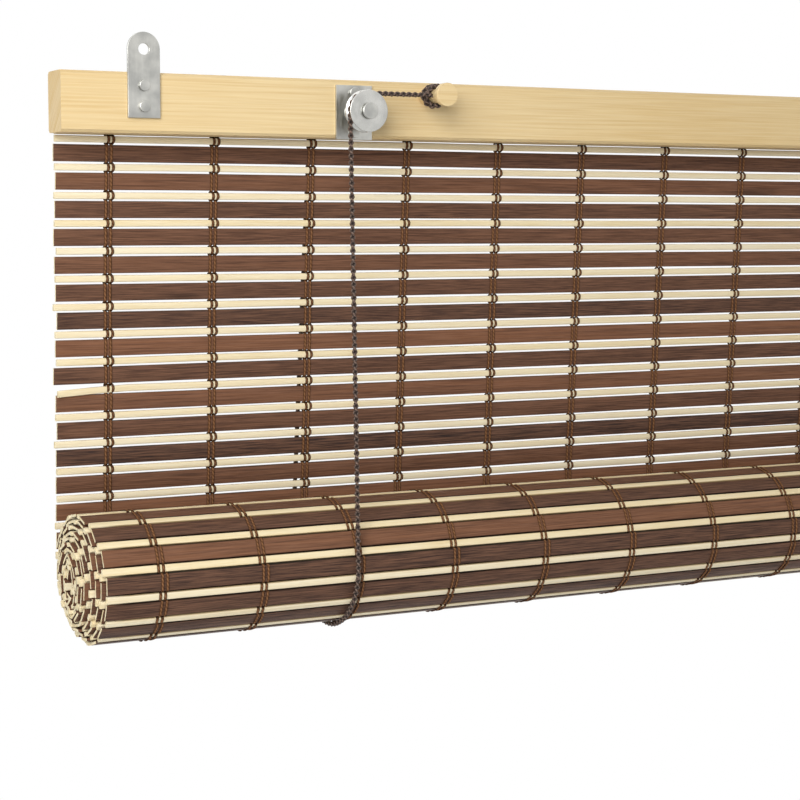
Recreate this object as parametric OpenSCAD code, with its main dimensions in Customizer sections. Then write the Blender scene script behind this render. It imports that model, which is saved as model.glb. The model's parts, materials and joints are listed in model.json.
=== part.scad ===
// Bamboo roll up blind, half rolled up: headrail, hanging slats, warp threads, roll and lift cord.

/* [Mat] */
// Length of every slat
mat_width = 780; // [700:2:860]
// Height of a dark slat
dark_height = 9.2; // [8.6:0.1:9.4]
// Thickness of a dark slat
dark_thick = 1.4; // [1.0:0.1:1.6]
// Height of a light rod
light_height = 4; // [3.4:0.1:4.2]
// Thickness of a light rod
light_thick = 2.2; // [1.8:0.1:2.3]
// Distance from one dark slat to the next
row_pitch = 15; // [14.6:0.1:15.6]
// How far slat ends stand out of line
end_stagger = 1.2; // [0:0.1:2]
// How far the top rows stand to the left of the bottom ones
row_skew = 1.8; // [0:0.1:2.5]
// Backward lean of the hanging mat in degrees
lean = 3.25; // [2.5:0.05:4]

/* [Warp threads] */
// Distance of the first warp from the slat ends
warp_edge = 30; // [26:1:40]
// Width of one strand
strand_width = 1.1; // [0.8:0.1:1.4]
// Thickness of one strand
strand_thick = 0.4; // [0.3:0.05:0.5]
// Distance between the two strands of a warp
strand_gap = 3; // [2.6:0.1:3.6]

/* [Roll] */
// Radius of the middle of the outer turn
roll_radius = 35.8; // [35:0.1:36.5]
// Growth of the roll for each turn
turn_pitch = 2.9; // [2.8:0.05:3.1]
// Radius of the innermost turn
core_radius = 5; // [4.6:0.1:6]
// Share by which the innermost turn is pressed flat
core_flat = 0.45; // [0:0.05:0.5]
// How far the inner turns sag below the outer turn
core_sag = 2.5; // [0:0.1:3]
// Thickness of the bound threads between turns
web_thick = 0.6; // [0.4:0.1:1]
// How far each turn creeps along the roll
turn_creep = 1.3; // [0:0.1:2]
// How far the front of a turn stands along the roll from its back
end_tilt = 3; // [0:0.1:4]
// Row pitch of the slack rows behind the roll
slack_pitch = 16.3; // [15.9:0.1:16.6]
// Row pitch in the wound turns
wound_pitch = 14.6; // [14.4:0.1:15]

/* [Headrail] */
// Depth of the headrail batten
rail_depth = 22; // [18:1:26]
// Height of the headrail batten
rail_height = 32; // [30:1:36]
// How far the batten stands out past the mat at each end
rail_overhang = 5; // [0:1:10]
// Edge chamfer of the battens
rail_chamfer = 1.5; // [0.5:0.5:3]
// Thickness of the clamping lath
lath_thick = 6; // [5:0.5:8]
// Height of the clamping lath
lath_height = 24; // [22:1:26]
// Number of nails through the lath
nail_count = 7; // [5:1:9]

/* [Hangers] */
// Distance of a hanger hole from the slat ends
hanger_inset = 40; // [30:1:60]
// Radius of a hanger hole
hanger_hole_r = 3; // [2:0.25:4]
// Width of a hanger plate
hanger_width = 18; // [16:1:24]
// Plate metal thickness
plate_thick = 1.5; // [1:0.25:2]
// Height of the hanger hole over the headrail
hanger_rise = 12; // [11:1:16]

/* [Pulleys and cord] */
// Distance of each cord wheel from the slat ends
wheel_inset = 163; // [150:1:175]
// Radius of the wheel at the bottom of its groove
groove_r = 8; // [7:0.5:9]
// Rim radius of the wheel
rim_r = 11.5; // [11:0.5:12]
// Width of the wheel
wheel_width = 7; // [6:0.5:8]
// Distance of the wheel in front of the headrail
wheel_reach = 17; // [15:1:19]
// Radius of the wheel axle
axle_r = 2.5; // [2:0.25:3]
// Diameter of the lift cord
cord_dia = 3; // [2.4:0.1:3.2]
// Distance from a wheel to its peg
peg_offset = 45; // [40:1:60]

/* [Hidden] */
dark_count = 15;
light_count = 16;
warp_count = 13;
warp_spacing = (mat_width - 2 * warp_edge) / (warp_count - 1);
wheel_x = mat_width / 2 - wheel_inset;
// Clearances: running fit, drilled holes, and room beside moving pieces
run_gap = 0.05;
drill_gap = 0.05;
side_gap = 0.3;
// Heights in the headrail, measured down from the hanger holes
rail_top = -hanger_rise;
rail_bottom = rail_top - rail_height;
// Middle plane of the clamped mat
mat_y = rail_depth + strand_thick + light_thick / 2;
lath_y = mat_y + light_thick / 2 + strand_thick;
// Place of the first hanging dark slat below the bend at the headrail
first_dark = 10;
half = row_pitch / 2;
// Last hanging rod, and where the mat touches the roll
last_light = first_dark + (light_count - 3) * row_pitch + half;
roll_drop = 21.2;
touch = last_light + roll_drop;
// Middle of the roll
roll_y = mat_y + touch * sin(lean) - roll_radius * cos(lean);
roll_z = rail_bottom - touch * cos(lean) - roll_radius * sin(lean);
turns = (roll_radius - core_radius) / turn_pitch;
slack_steps = 12;
web_margin = 18;
// Nails and screws
nail_r = 1;
nail_head_r = 3;
nail_head = 1.2;
nail_drop = 5.5;
nail_z = rail_bottom + lath_height - nail_drop;
nail_depth = 12;
nail_inset = 30;
screw_r = 1.5;
screw_head_r = 3;
screw_head = 1.8;
screw_depth = 11;
// Wheel, boss, peg
wheel_y = -wheel_reach;
wheel_rise = 14;
wheel_z = rail_bottom + wheel_rise;
boss_r = 6;
axle_seat = 8;
axle_head_r = 4.5;
axle_head = 2;
bracket_width = 22;
bracket_height = 30;
bracket_screw = 11;
cord_r = cord_dia / 2;
cord_lap = groove_r + cord_r + side_gap;
peg_r = 4;
peg_head_r = 6.5;
peg_head = 4;
peg_reach = 7;
peg_tenon_r = 3;
peg_tenon = 12;
peg_z = wheel_z + cord_lap;
// Screws in a hanger plate, measured down from its hole
hanger_screw_a = 19;
hanger_screw_b = 30;
hanger_tail = 36;
// Colours of the bare materials
dark_wood = [0.36, 0.25, 0.20];
light_wood = [0.93, 0.86, 0.70];
thread_brown = [0.42, 0.28, 0.16];
cord_brown = [0.17, 0.12, 0.10];
steel = [0.70, 0.70, 0.68];

function two(i) = str(i < 10 ? "0" : "", i);
function dark_name(i) = str("dark_slat_", two(i));
function light_name(i) = str("light_rod_", two(i));
function warp_name(i) = str("warp_thread_", two(i));

// Stagger of one slat's ends, repeatable by its number
function stagger(i) = end_stagger * sin(i * 137 + 40) * (0.55 + 0.45 * cos(i * 71));

// Distance of a row below the bend at the headrail
function dark_at(i) = first_dark + (i - 2) * row_pitch;
function light_at(i) = first_dark + (i - 2) * row_pitch - half;
function skew(s) = -row_skew * min(1, 1 - s / touch);

// Lays a flat outline in Y and Z and runs it along X
module along_x(x0, length) {
    translate([x0, 0, 0]) rotate([90, 0, 90]) linear_extrude(length) children();
}

// Moves a piece to a place on the mat, upright where clamped and leaning below
module on_mat(s) {
    if (s < 0) translate([0, mat_y, rail_bottom - s]) children();
    else translate([0, mat_y, rail_bottom]) rotate([lean, 0, 0]) translate([0, 0, -s]) children();
}

module bar(height, thick, shift) {
    translate([shift - mat_width / 2, -thick / 2, -height / 2]) cube([mat_width, thick, height]);
}

module dark_slat(i) {
    shift = stagger(2 * i) + skew(dark_at(i));
    color(dark_wood) on_mat(dark_at(i)) bar(dark_height, dark_thick, shift);
}

module light_rod(i) {
    shift = stagger(2 * i - 1) + skew(light_at(i));
    color(light_wood) on_mat(light_at(i)) bar(light_height, light_thick, shift);
}

// The wound part: each bar has an angle from the front, counted up over the top
function turn_radius(a) = roll_radius - turn_pitch * max(0, a + 180 + lean) / 360;
function turn_share(a) = max(0, a + 180 + lean) / 360;
start_angle = -180 - lean + (last_light + 1.5 * slack_pitch - touch) / roll_radius * 180 / PI;
function wound_angles() = [
    for (i = 0, a = start_angle; turn_radius(a) > core_radius; i = i + 1,
        a = a + wound_step(i) / turn_radius(a) * 180 / PI) a
];
function wound_step(i) = (i < slack_steps - 3 ? slack_pitch : wound_pitch) / 2;
angles = wound_angles();
bars = len(angles);

// Outline of one strand that lies on the mat, straight down and then leaning
warp_top_drop = 8;
warp_top = lath_height - warp_top_drop;
warp_end_rise = 5;
warp_end = touch - warp_end_rise;
function lean_point(s, d) = [
    mat_y + s * sin(lean) + d * cos(lean),
    rail_bottom - s * cos(lean) + d * sin(lean)
];
function bend_point(d) = [mat_y + d, rail_bottom + d * tan(lean / 2)];
function strand_outline(d0, d1) = [
    [mat_y + d0, rail_bottom + warp_top], bend_point(d0), lean_point(warp_end, d0),
    lean_point(warp_end, d1), bend_point(d1), [mat_y + d1, rail_bottom + warp_top]
];

// Knots between the strands, in every third space between slats
knot_height = 0.6;
knot_rows = 3;
module warp_knot(s) {
    width = strand_gap;
    on_mat(s) translate([-width / 2, -light_thick / 2 - strand_thick / 2, -knot_height / 2])
        cube([width, light_thick + strand_thick, knot_height]);
}

// Band of the warp behind the mat and on the outer turn of the roll, laid from rod to rod
band_clear = 0.1;
band_last = 140;
ring_rods = [for (i = [1:2:bars - 1]) if (angles[i] < band_last) i];
rod_span = (slack_pitch - light_height) / 2 / roll_radius * 180 / PI;
function band_out(r) = max(light_thick / 2, (r + dark_thick / 2) / cos(rod_span) - r) + band_clear;
function rod_corner(i, side, d) = let (a = angles[i], out = band_out(turn_radius(a)) + d) [
    bar_y(a) - out * cos(a) + side * light_height / 2 * sin(a),
    bar_z(a) + out * sin(a) + side * light_height / 2 * cos(a)
];
function band_path(d) = concat(
    [[mat_y + light_thick / 2 + d, rail_bottom + warp_top], bend_point(light_thick / 2 + d)],
    [lean_point(last_light + slack_pitch + light_height / 2, light_thick / 2 + d)],
    [for (i = ring_rods, side = [-1, 1]) rod_corner(i, side, d)]
);
function backwards(p) = [for (i = [len(p) - 1:-1:0]) p[i]];
module warp_band() {
    width = strand_gap + strand_width;
    along_x(-width / 2, width) polygon(concat(band_path(0), backwards(band_path(strand_thick))));
}

module warp_thread(i) {
    near = light_thick / 2;
    far = near + strand_thick;
    gap_at = dark_height / 2 + (half - dark_height / 2 - light_height / 2) / 2;
    color(thread_brown) translate([(i - (warp_count + 1) / 2) * warp_spacing, 0, 0]) {
        for (side = [-1, 1])
            along_x(side * strand_gap / 2 - strand_width / 2, strand_width)
                polygon(strand_outline(-near, -far));
        for (k = [2:knot_rows:dark_count]) warp_knot(dark_at(k) + gap_at);
        warp_band();
    }
}

// Centre, tilt and end shift of one wound bar
function flat(a) = core_flat * pow(turn_share(a) / turns, 3);
function half_y(a) = turn_radius(a) * (1 - flat(a));
function half_z(a) = turn_radius(a) * (1 + flat(a) / 2);
function bar_y(a) = roll_y - half_y(a) * cos(a);
function bar_z(a) = roll_z + half_z(a) * sin(a) - core_sag * turn_share(a) / turns;
function bar_tilt(a) = atan2(sin(a) / half_z(a), cos(a) / half_y(a));
creep_start = 3.1;
creep_end = -4.5;
tilt_phase = 40;
tilt_turns = 5;
tilt_least = 0.1;
function tilt_share(a) = max(tilt_least, 1 - turn_share(a) / tilt_turns);
function bar_shift(i, a) = max(creep_end, creep_start - turn_creep * turn_share(a))
    + end_tilt * tilt_share(a) * cos(a + tilt_phase) + stagger(i + 5);

module wound_bar(i) {
    a = angles[i];
    dark = i % 2 == 0;
    height = dark ? dark_height : light_height;
    thick = dark ? dark_thick : light_thick;
    along_x(bar_shift(i, a) - mat_width / 2, mat_width)
        translate([bar_y(a), bar_z(a)]) rotate(-bar_tilt(a)) square([thick, height], center = true);
}

// Slack rows between the last hanging rod and the roll
module slack_bar(i) {
    s = last_light + i * slack_pitch / 2;
    dark = i % 2 == 1;
    height = dark ? dark_height : light_height;
    thick = dark ? dark_thick : light_thick;
    on_mat(s) bar(height, thick, stagger(i + 50) + skew(s));
}

// Thread film that binds the wound rows, kept short of the slat ends
function film_point(a, d) = [bar_y(a) - d * cos(bar_tilt(a)), bar_z(a) + d * sin(bar_tilt(a))];
film_start = last_light + slack_pitch / 2;
module thread_film() {
    d = web_thick / 2;
    along_x(web_margin - mat_width / 2, mat_width - 2 * web_margin) polygon(concat(
        [lean_point(film_start, d)], [for (a = angles) film_point(a, d)],
        [for (i = [bars - 1:-1:0]) film_point(angles[i], -d)], [lean_point(film_start, -d)]
    ));
}

module rolled_mat() {
    color(dark_wood) {
        thread_film();
        for (i = [1:2]) slack_bar(i);
        for (i = [0:bars - 1]) wound_bar(i);
    }
}

module batten_outline(y0, z0, depth, height) {
    c = rail_chamfer;
    polygon([
        [y0 + c, z0], [y0 + depth - c, z0], [y0 + depth, z0 + c], [y0 + depth, z0 + height - c],
        [y0 + depth - c, z0 + height], [y0 + c, z0 + height], [y0, z0 + height - c], [y0, z0 + c]
    ]);
}

// A round bar along Y, from the face at y0 towards the back
module bore(x, y0, z, r, length) {
    translate([x, y0, z]) rotate([-90, 0, 0]) cylinder(r = r, h = length, $fn = 48);
}

function nail_x(i) = (i - (nail_count + 1) / 2) * (mat_width - 2 * nail_inset) / (nail_count - 1);
hanger_x = mat_width / 2 - hanger_inset;

// Places of the plate screws: x and z of each
screw_places = concat(
    [for (side = [-1, 1], down = [hanger_screw_a, hanger_screw_b]) [side * hanger_x, -down]],
    [for (side = [-1, 1], up = [-1, 1]) [side * wheel_x, wheel_z + up * bracket_screw]]
);

module headrail() {
    length = mat_width + 2 * rail_overhang;
    color(light_wood) difference() {
        along_x(-length / 2, length) batten_outline(0, rail_bottom, rail_depth, rail_height);
        for (p = screw_places) bore(p[0], -1, p[1], screw_r + drill_gap, screw_depth + 1);
        for (i = [1:nail_count])
            bore(nail_x(i), rail_depth - nail_depth, nail_z, nail_r + drill_gap, nail_depth + 1);
        for (side = [-1, 1]) bore(peg_x(side), -1, peg_z, peg_tenon_r + drill_gap, peg_tenon + 1 + side_gap);
    }
}

module clamping_lath() {
    color(light_wood) difference() {
        along_x(-mat_width / 2, mat_width) batten_outline(lath_y, rail_bottom, lath_thick, lath_height);
        for (i = [1:nail_count]) bore(nail_x(i), lath_y - 1, nail_z, nail_r + drill_gap, lath_thick + 2);
    }
}

module lath_nails() {
    back = lath_y + lath_thick;
    color(steel) for (i = [1:nail_count]) {
        bore(nail_x(i), rail_depth - nail_depth + side_gap, nail_z, nail_r, back - rail_depth + nail_depth);
        bore(nail_x(i), back, nail_z, nail_head_r, nail_head);
    }
}

module hanger(side) {
    color(steel) translate([side * hanger_x, 0, 0]) difference() {
        union() {
            translate([-hanger_width / 2, -plate_thick, -hanger_tail])
                cube([hanger_width, plate_thick, hanger_tail]);
            bore(0, -plate_thick, 0, hanger_width / 2, plate_thick);
        }
        bore(0, -plate_thick - 1, 0, hanger_hole_r, plate_thick + 2);
        for (down = [hanger_screw_a, hanger_screw_b])
            bore(0, -plate_thick - 1, -down, screw_r + drill_gap, plate_thick + 2);
    }
}

module plate_screws() {
    color(steel) for (p = screw_places) {
        bore(p[0], -plate_thick, p[1], screw_r, plate_thick + screw_depth - side_gap);
        bore(p[0], -plate_thick - screw_head, p[1], screw_head_r, screw_head);
    }
}

boss_front = wheel_y + wheel_width / 2 + side_gap;
module bracket(side) {
    x = side * wheel_x;
    color(steel) difference() {
        union() {
            translate([x - bracket_width / 2, -plate_thick, wheel_z - bracket_height / 2])
                cube([bracket_width, plate_thick, bracket_height]);
            bore(x, boss_front, wheel_z, boss_r, -boss_front);
        }
        bore(x, boss_front - 1, wheel_z, axle_r, axle_seat + 1);
        for (up = [-1, 1])
            bore(x, -plate_thick - 1, wheel_z + up * bracket_screw, screw_r + drill_gap, plate_thick + 2);
    }
}

axle_front = wheel_y - wheel_width / 2 - side_gap;
module axle(side) {
    x = side * wheel_x;
    color(steel) {
        bore(x, axle_front, wheel_z, axle_r, boss_front + axle_seat - axle_front);
        bore(x, axle_front - axle_head, wheel_z, axle_head_r, axle_head);
    }
}

module wheel(side) {
    w = wheel_width / 2;
    floor_half = cord_r;
    inner = axle_r + run_gap;
    color(steel) translate([side * wheel_x, wheel_y, wheel_z]) rotate([-90, 0, 0]) rotate_extrude($fn = 96)
        polygon([
            [inner, -w], [rim_r, -w], [rim_r, -w + 0.8], [groove_r, -floor_half],
            [groove_r, floor_half], [rim_r, w - 0.8], [rim_r, w], [inner, w]
        ]);
}

function peg_x(side) = side * (wheel_x - peg_offset);
peg_front = wheel_y - peg_reach;
module cord_pegs() {
    color(light_wood) for (side = [-1, 1]) {
        bore(peg_x(side), peg_front, peg_z, peg_r, -peg_front);
        bore(peg_x(side), peg_front - peg_head, peg_z, peg_head_r, peg_head);
        bore(peg_x(side), 0, peg_z, peg_tenon_r, peg_tenon);
    }
}

// Route of the lift cord: down behind the mat, under the roll, up in front and over the left wheel
cord_route = [
    [-245, 28, -44.1], [-244.9, 29, -64], [-244.7, 31.1, -104], [-244.6, 33.2, -144],
    [-244.4, 35.3, -184], [-244.2, 37.4, -224], [-244.1, 39, -256], [-244, 40.1, -277.1],
    [-243.9, 39.7, -285.1], [-243.8, 37.6, -292.8], [-243.6, 34.1, -299.9], [-243.5, 29.2, -306.1],
    [-243.4, 23.1, -311.2], [-243.2, 16.2, -314.9], [-243.1, 8.6, -317.2], [-243, 0.8, -317.9],
    [-242.9, -6.9, -317], [-242.8, -14.3, -314.5], [-242.6, -21.1, -310.6], [-242.5, -26.8, -305.4],
    [-242.4, -31.4, -299.2], [-242.2, -34.7, -292.2], [-242.1, -36.4, -284.7], [-242, -36.6, -277],
    [-241.6, -34.9, -256], [-240.7, -31.8, -216], [-239.9, -28.6, -176], [-239, -25.4, -136],
    [-238.2, -22.2, -96], [-237.5, -19.5, -62], [-237.1, -18, -42], [-236.8, -17, -30],
    [-236.3, -17, -27], [-234.9, -17, -24.2], [-232.8, -17, -22.1], [-230, -17, -20.7],
    [-227, -17, -20.2], [-215, -17, -20.2], [-200, -17, -20.2], [-186, -17, -20.2]
];
cord_sides = 8;
cord_skew = [1, 1, 0];
function unit(v) = v / norm(v);
function route_step(i) = unit(cord_route[min(i + 1, len(cord_route) - 1)] - cord_route[max(i - 1, 0)]);
function ring(i) = let (t = route_step(i), u = unit(cross(t, cord_skew)), v = cross(t, u)) [
    for (k = [0:cord_sides - 1])
        cord_route[i] + cord_r * (cos(k * 360 / cord_sides) * u + sin(k * 360 / cord_sides) * v)
];
function ring_faces(i) = [
    for (k = [0:cord_sides - 1]) let (n = (k + 1) % cord_sides, b = i * cord_sides)
        [b + k, b + n, b + cord_sides + n, b + cord_sides + k]
];
module lift_cord() {
    last = len(cord_route) - 1;
    color(cord_brown) polyhedron(
        points = [for (i = [0:last], p = ring(i)) p],
        faces = concat(
            [[for (k = [cord_sides - 1:-1:0]) k]],
            [for (i = [0:last - 1], f = ring_faces(i)) f],
            [[for (k = [0:cord_sides - 1]) last * cord_sides + k]]
        )
    );
}

headrail();
clamping_lath();
lath_nails();
for (i = [1:dark_count]) dark_slat(i);
for (i = [1:light_count]) light_rod(i);
for (i = [1:warp_count]) warp_thread(i);
rolled_mat();
hanger(-1);  // left_hanger
hanger(1);  // right_hanger
plate_screws();
bracket(-1);  // left_bracket
axle(-1);  // left_axle
wheel(-1);  // left_wheel
bracket(1);  // right_bracket
axle(1);  // right_axle
wheel(1);  // right_wheel
cord_pegs();
lift_cord();
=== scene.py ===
"""Dresses the bamboo roll up blind: slats, rods, wound mat, warps, lift cord and top fittings."""

import json
import logging
import math
import random
from dataclasses import dataclass
from enum import Enum
from typing import Any, Sequence

import bpy
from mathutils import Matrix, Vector

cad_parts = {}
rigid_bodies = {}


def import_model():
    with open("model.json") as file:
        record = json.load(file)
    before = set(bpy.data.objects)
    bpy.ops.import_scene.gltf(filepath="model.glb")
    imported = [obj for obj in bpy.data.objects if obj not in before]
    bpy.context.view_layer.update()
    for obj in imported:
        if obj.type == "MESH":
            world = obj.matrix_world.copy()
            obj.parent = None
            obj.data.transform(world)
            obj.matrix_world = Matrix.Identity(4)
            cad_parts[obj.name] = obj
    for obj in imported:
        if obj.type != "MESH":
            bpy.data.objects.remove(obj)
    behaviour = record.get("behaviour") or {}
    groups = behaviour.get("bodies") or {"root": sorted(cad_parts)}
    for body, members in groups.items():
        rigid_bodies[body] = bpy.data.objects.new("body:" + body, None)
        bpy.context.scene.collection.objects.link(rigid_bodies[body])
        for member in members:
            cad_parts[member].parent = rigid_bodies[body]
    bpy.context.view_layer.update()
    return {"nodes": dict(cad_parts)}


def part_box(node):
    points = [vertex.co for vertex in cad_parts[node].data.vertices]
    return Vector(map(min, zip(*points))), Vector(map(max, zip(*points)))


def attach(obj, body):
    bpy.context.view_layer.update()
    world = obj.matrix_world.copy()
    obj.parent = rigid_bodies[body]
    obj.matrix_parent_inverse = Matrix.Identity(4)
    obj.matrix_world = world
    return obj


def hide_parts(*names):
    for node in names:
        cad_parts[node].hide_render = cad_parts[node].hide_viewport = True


for leftover in list(bpy.data.objects):
    bpy.data.objects.remove(leftover)

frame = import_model()
LOG = logging.getLogger("blind")
MM = 0.001
BODY = "blind"
Colour = tuple[float, float, float, float]
Point = tuple[float, float, float]
Socket = bpy.types.NodeSocket
Piece = bpy.types.Object
Material = bpy.types.Material
MID_NOISE = (0.3, 0.7)
BLACK: Colour = (0.0, 0.0, 0.0, 1.0)
WHITE: Colour = (1.0, 1.0, 1.0, 1.0)


def shade(code: str) -> Colour:
    """Turn a written colour into the linear one that shaders use.

    Args:
        code: six hexadecimal digits after a hash sign.

    Returns:
        Red, green, blue and an alpha of one.
    """
    parts = [int(code[i : i + 2], 16) / 255 for i in (1, 3, 5)]
    linear = [p / 12.92 if p <= 0.04045 else ((p + 0.055) / 1.055) ** 2.4 for p in parts]
    return (*linear, 1.0)


class BarKind(Enum):
    """The two kinds of bar that make the mat."""

    DARK = "dark"
    LIGHT = "light"


class GrainFrom(Enum):
    """Where a grain pattern takes its coordinates from."""

    BAR = "grain"
    OBJECT = "Object"


class TreeMaker:
    """Adds nodes to one node tree and links them by socket name or number."""

    def __init__(self, tree: bpy.types.NodeTree) -> None:
        """Keep the tree that nodes are added to."""
        self.tree = tree

    def add(
        self, kind: str, inputs: dict[Any, Any] | None = None, **settings: Any
    ) -> bpy.types.Node:
        """Add a node, set its properties and fill its inputs.

        Args:
            kind: the node's type name.
            inputs: values or output sockets, by input name or number.
            settings: the node's own properties.

        Returns:
            The new node.
        """
        node = self.tree.nodes.new(kind)
        for name, value in settings.items():
            setattr(node, name, value)
        for name, value in (inputs or {}).items():
            self.feed(node.inputs[name], value)
        return node

    def out(self, kind: str, inputs: dict[Any, Any] | None = None, **settings: Any) -> Socket:
        """Add a node in the same way and return its first output."""
        return self.add(kind, inputs, **settings).outputs[0]

    def feed(self, socket: Socket, value: Any) -> None:
        """Link a socket to another one, or give it a fixed value."""
        if isinstance(value, Socket):
            self.tree.links.new(value, socket)
        else:
            socket.default_value = value

    def math(self, operation: str, *values: Any) -> Socket:
        """Add a Math node and return its result."""
        return self.out("ShaderNodeMath", dict(enumerate(values)), operation=operation)

    def times(self, first: Any, second: Any) -> Socket:
        """Return the product of two numbers."""
        return self.math("MULTIPLY", first, second)

    def plus(self, first: Any, second: Any) -> Socket:
        """Return the sum of two numbers."""
        return self.math("ADD", first, second)

    def minus(self, first: Any, second: Any) -> Socket:
        """Return the difference of two numbers."""
        return self.math("SUBTRACT", first, second)

    def vector(self, operation: str, *values: Any) -> Socket:
        """Add a Vector Math node and return its vector."""
        return self.out("ShaderNodeVectorMath", dict(enumerate(values)), operation=operation)

    def scaled(self, vector: Socket, factor: Any) -> Socket:
        """Return a vector times a number."""
        return self.out("ShaderNodeVectorMath", {0: vector, "Scale": factor}, operation="SCALE")

    def joined(self, x: Any, y: Any, z: Any) -> Socket:
        """Return a vector made of three numbers."""
        return self.out("ShaderNodeCombineXYZ", {0: x, 1: y, 2: z})

    def parted(self, vector: Socket) -> Sequence[Socket]:
        """Return the three numbers of a vector."""
        return self.add("ShaderNodeSeparateXYZ", {0: vector}).outputs

    def span(
        self, value: Any, low: float, high: float, start: float = 0.0, end: float = 1.0
    ) -> Socket:
        """Return a value eased from one range of numbers to another.

        Args:
            value: the number that varies.
            low: the value that gives start.
            high: the value that gives end.
            start: result at and below low.
            end: result at and above high.

        Returns:
            The eased number.
        """
        return self.out(
            "ShaderNodeMapRange",
            {"Value": value, "From Min": low, "From Max": high, "To Min": start, "To Max": end},
            interpolation_type="SMOOTHSTEP",
        )

    def blended(self, factor: Any, first: Any, second: Any) -> Socket:
        """Return two colours mixed by a factor."""
        return self.add(
            "ShaderNodeMix", {0: factor, 6: first, 7: second}, data_type="RGBA"
        ).outputs[2]

    def noise(self, place: Any, scale: Any, detail: float, roughness: float = 0.5) -> Socket:
        """Return a noise pattern as a number."""
        return self.out(
            "ShaderNodeTexNoise",
            {"Vector": place, "Scale": scale, "Detail": detail, "Roughness": roughness},
        )


def linked(name: str, data: bpy.types.ID) -> Piece:
    """Make an object of some data, link it to the scene and return it."""
    piece = bpy.data.objects.new(name, data)
    bpy.context.scene.collection.objects.link(piece)
    return piece


class GeometryTree:
    """A Geometry Nodes tree with named inputs that makes a finished mesh from a host mesh."""

    def __init__(self, name: str, **inputs: Sequence[str]) -> None:
        """Make the tree and its sockets.

        Args:
            name: the tree's name.
            inputs: names of the inputs, by the kind of socket.
        """
        self.tree = bpy.data.node_groups.new(name, "GeometryNodeTree")
        face = self.tree.interface
        for way in ("INPUT", "OUTPUT"):
            face.new_socket(name="Geometry", in_out=way, socket_type="NodeSocketGeometry")
        self.identifiers: dict[str, str] = {}
        for kind, labels in inputs.items():
            form = f"NodeSocket{kind}"
            for label in labels:
                socket = face.new_socket(name=label, in_out="INPUT", socket_type=form)
                self.identifiers[label] = socket.identifier
        self.make = TreeMaker(self.tree)
        self.given = self.tree.nodes.new("NodeGroupInput").outputs

    def close(self, geometry: Socket) -> None:
        """Link the finished geometry to the tree's output."""
        self.make.add("NodeGroupOutput", {"Geometry": geometry})

    def named(self, label: str, kind: str = "FLOAT") -> Socket:
        """Return a value that the mesh stores under a name."""
        node = self.make.add("GeometryNodeInputNamedAttribute", {"Name": label}, data_type=kind)
        return node.outputs["Attribute"]

    def position(self) -> Socket:
        """Return the place of each point."""
        return self.make.out("GeometryNodeInputPosition")

    def stored(self, geometry: Socket, label: str, value: Any, kind: str = "FLOAT") -> Socket:
        """Store a value on the points of a geometry.

        Args:
            geometry: what the value is stored on.
            label: the attribute's name.
            value: the value, which may vary.
            kind: FLOAT or FLOAT_VECTOR.

        Returns:
            The geometry with the attribute.
        """
        return self.make.out(
            "GeometryNodeStoreNamedAttribute",
            {"Geometry": geometry, "Name": label, "Value": value},
            data_type=kind,
            domain="POINT",
        )

    def run(self, mesh: bpy.types.Mesh, name: str, values: dict[str, Any]) -> Piece:
        """Run the tree on a host mesh and keep the result as a plain mesh.

        Args:
            mesh: the host mesh of points or chains.
            name: the finished piece's name.
            values: the tree's inputs by name.

        Returns:
            The finished piece, at the origin, with no modifier.
        """
        piece = linked(name, mesh)
        modifier = piece.modifiers.new("Build", "NODES")
        modifier.node_group = self.tree
        for label, value in values.items():
            modifier[self.identifiers[label]] = value
        depsgraph = bpy.context.evaluated_depsgraph_get()
        result = bpy.data.meshes.new_from_object(
            piece.evaluated_get(depsgraph), preserve_all_data_layers=True, depsgraph=depsgraph
        )
        piece.modifiers.remove(modifier)
        piece.data = result
        bpy.data.meshes.remove(mesh)
        result.name = name
        return piece


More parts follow.
